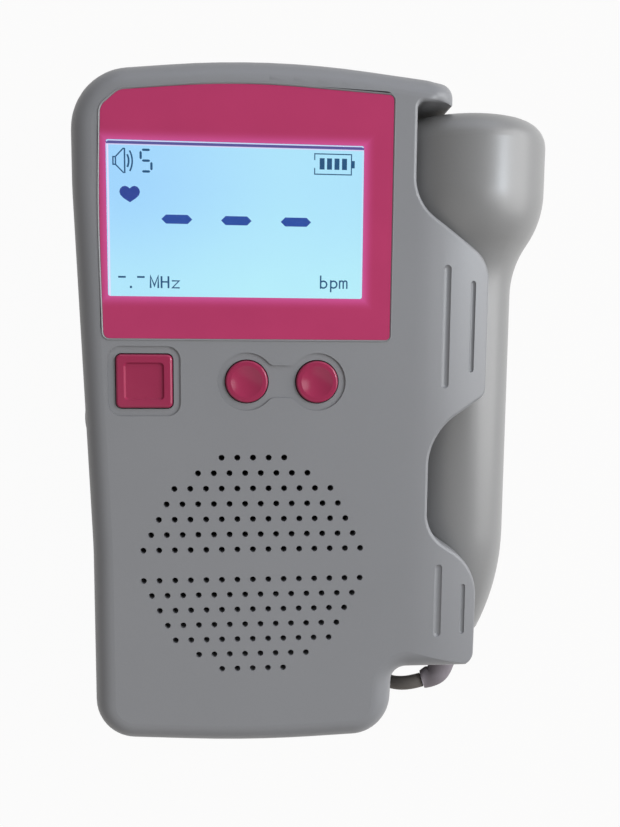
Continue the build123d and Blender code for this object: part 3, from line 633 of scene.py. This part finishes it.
# %% Lens plate
lens_top, lens_seat, lens_bevel = 35.06, 33.82, 0.05
face_z, split = 35.0, 0.002  # the housing's face, and how far each body stays off it
lip_levels = [(0, face_z + split), (0, lens_top - lens_bevel), (-lens_bevel, lens_top)]
seat_levels = [(0, lens_seat), (0, face_z - split)]
lens = bmesh.new()
for corners, levels in ((lens_corners, lip_levels), (seat_corners, seat_levels)):
    outer = walls(lens, outline(corners), levels)
    inner = walls(lens, outline(hole_corners), [(0, levels[0][1]), (0, levels[-1][1])])
    cap(lens, outer[0], inner[0])
    cap(lens, outer[1], inner[1])
lens_plate = placed("lens_plate", lens, lens_pink)
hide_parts("display_bezel")

# %% [markdown]
# A fine bead of the housing runs round the lens. Lit from the right, its inner
# slope is bright on the left side and dark on the right.

# %% Lens bead
bead_levels = [(0.04, 34.99), (0.04, 35.03), (0.2, 35.17), (0.27, 35.17), (0.36, 34.99)]
bead = bmesh.new()
walls(bead, outline(lens_corners), bead_levels, closed=True)
placed("lens_bead", bead, housing_plastic)

# %% [markdown]
# ## The lit display
# A liquid crystal display is a lamp behind a shutter. The lamp is pale blue,
# a little deeper at the left, paler towards the lower right, and its edge
# shows as a thin near-white line at the sides and the bottom. Along the top
# edge a dark band is painted as the lens's shadow. All that is one emission
# colour on the glass.

# %% Display glass
backlight = dict(x=-3.0, y=36.4, half_w=24.0, half_h=14.6)
glass = Finish("display glass", Base_Color=(0.01, 0.01, 0.02, 1), Specular_IOR_Level=0.05, Emission_Strength=1.0)
x, y, _ = glass.axes()
across = glass.ease(x, -27.0, 8.0)
down = 1 - glass.ease(y, 22.0, 44.0)
lit = glass.between(across, linear(160, 214, 255), linear(176, 232, 253))
lit = glass.between(0.6 * down, lit, linear(192, 250, 252))
patch = glass.grain(14.0, detail=1)
lit = glass.between(0.35 * patch, lit, linear(172, 222, 255))
edge = glass.ease(beyond(glass, **backlight), -0.42, -0.2)
lit = glass.between(edge, lit, linear(232, 222, 255))
# painted shade: a dark band along the top edge for the lens's shadow
top_shade = glass.ease(y, 50.75, 50.95)
lit = glass.between(top_shade, lit, linear(88, 84, 150))
glass.feed("Emission Color", lit)
dress(glass, "lcd_glass")

clear = Finish("clear window", Base_Color=(1, 1, 1, 1), Roughness=0.03, IOR=1.3, Transmission_Weight=1.0)
smear = clear.grain(6.0, detail=3)
clear.feed("Roughness", 0.01 + 0.03 * smear)
dress(clear, "display_pane")
glass_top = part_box("lcd_glass")[1][2] / MM
print("the glass ends", round(glass_top, 2), "mm up")

# %% [markdown]
# ## What the display shows
# Each sign is a thin plate just above the glass. A plate is either filled,
# such as the heart, or a band along a line, such as the loudspeaker's
# outline. Both are closed solids a few hundredths of a millimetre thick.

# %% Plates and bands
sign_z = glass_top + 0.02
sign_t = 0.05


class Sign:
    """A drawing of thin plates on the display."""

    def __init__(self):
        self.mesh = bmesh.new()

    def plate(self, shape):
        """A filled outline of (x, y) points."""
        lower = [self.mesh.verts.new((x * MM, y * MM, sign_z * MM)) for x, y in shape]
        upper = [self.mesh.verts.new((x * MM, y * MM, (sign_z + sign_t) * MM)) for x, y in shape]
        self.mesh.faces.new(upper)
        self.mesh.faces.new(lower[::-1])
        skin(self.mesh, lower, upper)

    def band(self, line, width, closed=False):
        """A stroke of this width along a line of (x, y) points."""
        points = [Vector(p) for p in line]
        count = len(points)
        left, right = [], []
        for i, point in enumerate(points):
            ways = []
            if closed or i > 0:
                ways.append((point - points[i - 1]).normalized())
            if closed or i < count - 1:
                ways.append((points[(i + 1) % count] - point).normalized())
            way = sum(ways[1:], ways[0].copy()).normalized()
            aside = Vector((-way.y, way.x))
            half = width / 2 / max(0.5, way.dot(ways[0]))
            left.append(point + aside * half)
            right.append(point - aside * half)
        if not closed:
            self.plate(right + left[::-1])
            return
        for i in range(count):
            j = (i + 1) % count
            self.plate([right[i], right[j], left[j], left[i]])

    def put(self, name, finish):
        placed(name, self.mesh, finish)


def ink(name, colour):
    """A dark segment, through which some of the backlight still comes."""
    finish = Finish(name, Base_Color=(0.005, 0.005, 0.01, 1), Specular_IOR_Level=0.05, Emission_Strength=1.0)
    finish.feed("Emission Color", finish.between(finish.grain(1.5), shade(colour, 0.9), shade(colour, 1.12)))
    return finish


big_ink = ink("large segment ink", linear(44, 78, 160))
fine_ink = ink("fine segment ink", linear(38, 84, 124))


def arc(cx, cy, r, start, end, steps=8):
    """Points on a circle, from one angle to another in degrees."""
    angles = [radians(start + (end - start) * i / steps) for i in range(steps + 1)]
    return [(cx + r * cos(a), cy + r * sin(a)) for a in angles]


# %% [markdown]
# The large signs first: three dashes with pointed ends, where the heart rate
# will stand, and a heart that beats with it.

# %% Dashes and heart
point, half = 0.85, 0.83  # a dash's pointed end, and half its height
dashes = Sign()
for left_x, right_x, mid_y in ((-17.12, -11.4, 37.36), (-6.03, -0.3, 37.3), (5.2, 10.95, 37.26)):
    dashes.plate(
        [
            (left_x, mid_y),
            (left_x + point, mid_y - half),
            (right_x - point, mid_y - half),
            (right_x, mid_y),
            (right_x - point, mid_y + half),
            (left_x + point, mid_y + half),
        ]
    )
dashes.put("display_dashes", big_ink)

heart = Sign()
heart.plate(
    [
        (-22.87, 40.3),
        (-21.79, 41.03),
        (-21.2, 41.6),
        (-21.01, 42.2),
        (-21.15, 42.75),
        (-21.5, 43.15),
        (-21.99, 43.29),
        (-22.5, 43.15),
        (-22.87, 42.8),
        (-23.25, 43.12),
        (-23.75, 43.27),
        (-24.25, 43.12),
        (-24.62, 42.75),
        (-24.8, 42.2),
        (-24.6, 41.6),
        (-24.05, 41.03),
    ]
)
heart.put("display_heart", ink("heart ink", linear(48, 70, 150)))

# %% [markdown]
# The top row has the loudspeaker with its volume, a seven-segment figure, and
# the battery with its four bars.

# %% Loudspeaker
speaker = Sign()
speaker.band([(-25.86, 47.1), (-25.86, 48.48), (-25.4, 48.48), (-25.4, 47.1)], 0.24, closed=True)
speaker.band([(-25.4, 48.5), (-24.0, 50.0), (-23.74, 50.0)], 0.24)
speaker.band([(-23.74, 50.08), (-23.74, 45.6)], 0.27)
speaker.band([(-23.74, 45.68), (-24.0, 45.68), (-25.4, 47.08)], 0.24)
speaker.band(arc(-25.6, 47.82, 2.6, 26, -26), 0.33)
speaker.band(arc(-26.3, 47.8, 3.95, 28, -28), 0.29)
speaker.put("display_loudspeaker", fine_ink)

# %% Volume figure


def segments(sign, left, right, top_shade, bottom, on, width):
    """A seven-segment figure; on lists its lit segments by their letters."""
    gap = width * 0.5
    middle = (top_shade + bottom) / 2
    runs = {
        "a": ((left + gap, top_shade), (right - gap, top_shade)),
        "b": ((right, top_shade - gap), (right, middle + gap)),
        "c": ((right, middle - gap), (right, bottom + gap)),
        "d": ((left + gap, bottom), (right - gap, bottom)),
        "e": ((left, middle - gap), (left, bottom + gap)),
        "f": ((left, top_shade - gap), (left, middle + gap)),
        "g": ((left + gap, middle), (right - gap, middle)),
    }
    for letter in on:
        start, end = (Vector(p) for p in runs[letter])
        way = (end - start).normalized() * width / 2
        aside = Vector((-way.y, way.x))
        under = [start, start + way - aside, end - way - aside]
        over = [end, end - way + aside, start + way + aside]
        sign.plate(under + over)


volume = Sign()
segments(volume, -20.8, -18.85, 49.85, 45.95, "acdfg", 0.42)
volume.put("display_volume", fine_ink)

# %% Battery
battery = Sign()
battery.band([(11.55, 48.8), (11.55, 49.95), (18.52, 49.95), (18.52, 46.22), (11.55, 46.22), (11.55, 47.35)], 0.2)
battery.plate([(18.62, 47.45), (19.15, 47.45), (19.15, 48.8), (18.62, 48.8)])
for bar_x in (12.95, 14.35, 15.77, 17.2):
    battery.plate([(bar_x - 0.47, 47.1), (bar_x + 0.47, 47.1), (bar_x + 0.47, 49.18), (bar_x - 0.47, 49.18)])
battery.put("display_battery", fine_ink)

# %% [markdown]
# The lower row has the probe's frequency and the unit of the heart rate, in
# plain strokes. Round letters are arcs.

# %% Frequency and unit
frequency = Sign()
frequency.band([(-25.25, 26.57), (-23.85, 26.57)], 0.34)
frequency.plate([(-23.12, 24.5), (-22.72, 24.5), (-22.72, 24.92), (-23.12, 24.92)])
frequency.band([(-21.75, 26.59), (-20.35, 26.59)], 0.34)
stroke = 0.34
frequency.band([(-19.26, 24.57), (-19.26, 26.8), (-18.55, 25.0), (-17.84, 26.8), (-17.84, 24.57)], stroke)
frequency.band([(-17.22, 24.57), (-17.22, 26.8)], stroke)
frequency.band([(-15.93, 24.57), (-15.93, 26.8)], stroke)
frequency.band([(-17.1, 25.74), (-16.05, 25.74)], 0.28)
frequency.band([(-15.3, 25.95), (-13.95, 25.95), (-15.2, 24.66), (-13.85, 24.66)], 0.26)
frequency.put("display_frequency", fine_ink)

unit = Sign()
unit.band([(12.9, 24.85), (12.9, 27.34)], 0.29)
unit.band(arc(13.42, 25.63, 0.66, 150, -150, 10), 0.29)
unit.band([(14.85, 24.2), (14.85, 26.48)], 0.29)
unit.band(arc(15.37, 25.66, 0.66, 150, -150, 10), 0.29)
unit.band([(16.55, 24.88), (16.55, 26.45)], 0.27)
unit.band([(16.6, 26.1)] + arc(16.93, 26.05, 0.32, 140, 0, 6) + [(17.25, 24.88)], 0.27)
unit.band([(17.3, 26.1)] + arc(17.63, 26.05, 0.32, 140, 0, 6) + [(17.95, 24.88)], 0.27)
unit.put("display_unit", fine_ink)

# %% [markdown]
# ## What is inside
# Nobody sees the inside through the shells, but the battery cover slides off,
# the grille shows the speaker, and a part that is opened should still look
# made. Each of these gets the finish of its trade: a green board with traces,
# plated steel, black moulded parts, paper.

# %% Inner plastics and paper
dress(moulded("white plastic", linear(225, 225, 222), 0.4), "light_guide", "display_frame")
dress(
    moulded("black plastic", linear(38, 38, 40), 0.45),
    "mode_switch",
    "volume_down_switch",
    "volume_up_switch",
    "mode_plunger",
    "volume_down_plunger",
    "volume_up_plunger",
    "board_chips",
    "headphone_jack",
)
dress(moulded("speaker paper", linear(52, 50, 48), 0.8, pit=0.8, depth=0.03), "speaker_cone")
dress(moulded("crystal ceramic", linear(205, 196, 172), 0.55, pit=0.5), "crystal_pair")

# %% Metal


def plated(name, colour, roughness, brushed=(1, 1, 1)):
    """Plated or brushed steel; a stretched noise gives the brush marks."""
    finish = Finish(name, Metallic=1.0)
    marks = finish.grain(0.8, detail=4, stretch=brushed)
    finish.feed("Base Color", finish.between(marks, shade(colour, 0.82), shade(colour, 1.08)))
    finish.feed("Roughness", roughness + 0.25 * (marks - 0.5))
    finish.relief(marks, 0.004)
    return finish


dress(plated("zinc plating", linear(188, 188, 182), 0.38), "case_screws", "board_screws", "probe_screws")
dress(plated("pressed steel", linear(150, 151, 154), 0.45), "speaker_basket", "speaker_magnet")
dress(plated("nickel plating", linear(206, 202, 190), 0.3, (4, 0.4, 4)), "battery_plates", "battery_springs")

# %% Circuit boards
board = Finish("circuit board", Coat_Weight=0.5, Coat_Roughness=0.15)
fields = board.node(
    "TexVoronoi", {"Vector": board.place(), "Scale": 0.45}, feature="DISTANCE_TO_EDGE", distance="CHEBYCHEV"
)
trace = 1 - board.ease(fields, 0.04, 0.09)
board.feed("Base Color", board.between(trace, linear(18, 84, 48), linear(40, 122, 66)))
board.feed("Roughness", 0.35 + 0.15 * board.grain(2.0))
board.relief(trace, 0.03)
dress(board, "main_board", "probe_board")

# %% [markdown]
# The two cells have a printed jacket in two tones, dark with a gold collar at
# the positive end, and bare steel at both ends.

# %% Cells
cell_middle_y, cell_half = -39.1, 24.35
cell = Finish("cell jacket", Coat_Weight=0.4, Coat_Roughness=0.1)
_, y, _ = cell.axes()
wear = cell.grain(4.0, detail=3)
collar = cell.ease(y, -27.2, -26.9)
jacket_tone = cell.between(collar, linear(38, 40, 44), linear(196, 150, 70))
steel_end = cell.ease(abs(y - cell_middle_y), cell_half, 24.5)
cell.feed("Base Color", cell.between(steel_end, jacket_tone, linear(196, 196, 192)))
cell.feed("Metallic", 0.9 * steel_end.most(collar))
cell.feed("Roughness", 0.28 + 0.2 * (wear - 0.5))
dress(cell, "battery_1", "battery_2")

# %% [markdown]
# ## The studio
# Soft daylight. The main lamp is a large window, low at the right, with a
# smaller and higher one beside it. Two small panes close to the unit give the
# probe's head its highlight. A weak lamp high over the lower left and a cool
# skylight beyond the top end light what the windows miss, and a faint warm
# sky fills the shadows. To the camera the table is almost all its own light,
# so it looks evenly white and shows no shadow of the unit. To the lamps it is
# a brown surface, which throws a little warm light back on the unit's walls.

# %% Table
reach = 3.0  # metres from the table's middle to its edges
table_corners = [(-reach, -reach, 0), (reach, -reach, 0), (reach, reach, 0), (-reach, reach, 0)]
table_dark, table_pale = (0.17, 0.12, 0.09, 1), (0.20, 0.15, 0.11, 1)
own_light = 0.96
floor = bpy.data.objects.new("table", bpy.data.meshes.new("table"))
bpy.context.collection.objects.link(floor)
floor.data.from_pydata(table_corners, [], [(0, 1, 2, 3)])
paper = Finish("table paper", Roughness=0.9)
paper.feed("Base Color", paper.between(paper.grain(60.0), table_dark, table_pale))
ray = paper.node("LightPath", {}, out="Is Camera Ray")
gloss = paper.node("LightPath", {}, out="Is Glossy Ray")
through = paper.node("LightPath", {}, out="Is Transmission Ray")
seen = ray.most(gloss.most(through))
white = paper.node("Emission", {"Color": (1, 1, 1, 1), "Strength": 1.0}, out="Emission")
surface = Wire(paper, paper.shader.outputs[0])
mixed = paper.node("MixShader", {0: own_light * seen, 1: surface, 2: white})
paper.feed(paper.tree.nodes["Material Output"].inputs["Surface"], mixed)
floor.data.materials.append(paper.material)
print("table", 2 * reach, "m wide")

# %% Lamps


def lamp(name, towards, distance, width, height, power, colour=(1, 1, 1)):
    """A soft rectangular lamp in this direction, aimed at the unit."""
    light = bpy.data.lights.new(name, "AREA")
    light.shape = "RECTANGLE"
    light.size, light.size_y = width, height
    light.energy = power
    light.color = colour
    made = bpy.data.objects.new(name, light)
    made.location = Vector(towards).normalized() * distance
    made.rotation_euler = Vector(towards).to_track_quat("Z", "Y").to_euler()
    bpy.context.collection.objects.link(made)


lamp("window", (0.86, 0.20, 0.46), 1.2, 1.1, 1.0, 14.0)
lamp("high_window", (0.60, 0.06, 0.80), 1.0, 0.3, 0.5, 1.5)
lamp("pane", (0.70, 0.235, 0.74), 0.42, 0.02, 0.04, 0.26, (0.80, 0.90, 1.0))
lamp("upper_pane", (0.70, 0.30, 0.72), 0.42, 0.03, 0.05, 0.03, (0.86, 0.9, 1.0))
lamp("overhead", (-0.3, -0.5, 0.8), 0.6, 0.6, 0.6, 0.68)
lamp("skylight", (0.1, 0.88, 0.45), 1.2, 1.3, 0.9, 4.4, (0.82, 0.88, 1.0))

# %% [markdown]
# The sky is two backgrounds, wired like a finish. The camera sees the white
# one, and everything else is lit by the faint warm one.

# %% Sky


class Sky(Finish):
    """The world's light and the nodes that feed it."""

    def __init__(self, name):
        world = bpy.data.worlds.new(name)
        world.use_nodes = True
        bpy.context.scene.world = world
        self.tree = world.node_tree
        self.tree.nodes.remove(self.tree.nodes["Background"])


sky_colour, sky_strength = (1.0, 0.94, 0.87, 1), 0.21
sky = Sky("sky")
fill = sky.node("Background", {"Color": sky_colour, "Strength": sky_strength})
white_sky = sky.node("Background", {"Color": (1, 1, 1, 1)})
camera_ray = sky.node("LightPath", {}, out="Is Camera Ray")
mixed_sky = sky.node("MixShader", {0: camera_ray, 1: fill, 2: white_sky})
sky.feed(sky.tree.nodes["World Output"].inputs["Surface"], mixed_sky)
bpy.context.scene.view_settings.view_transform = "Standard"
print("sky strength", sky_strength)
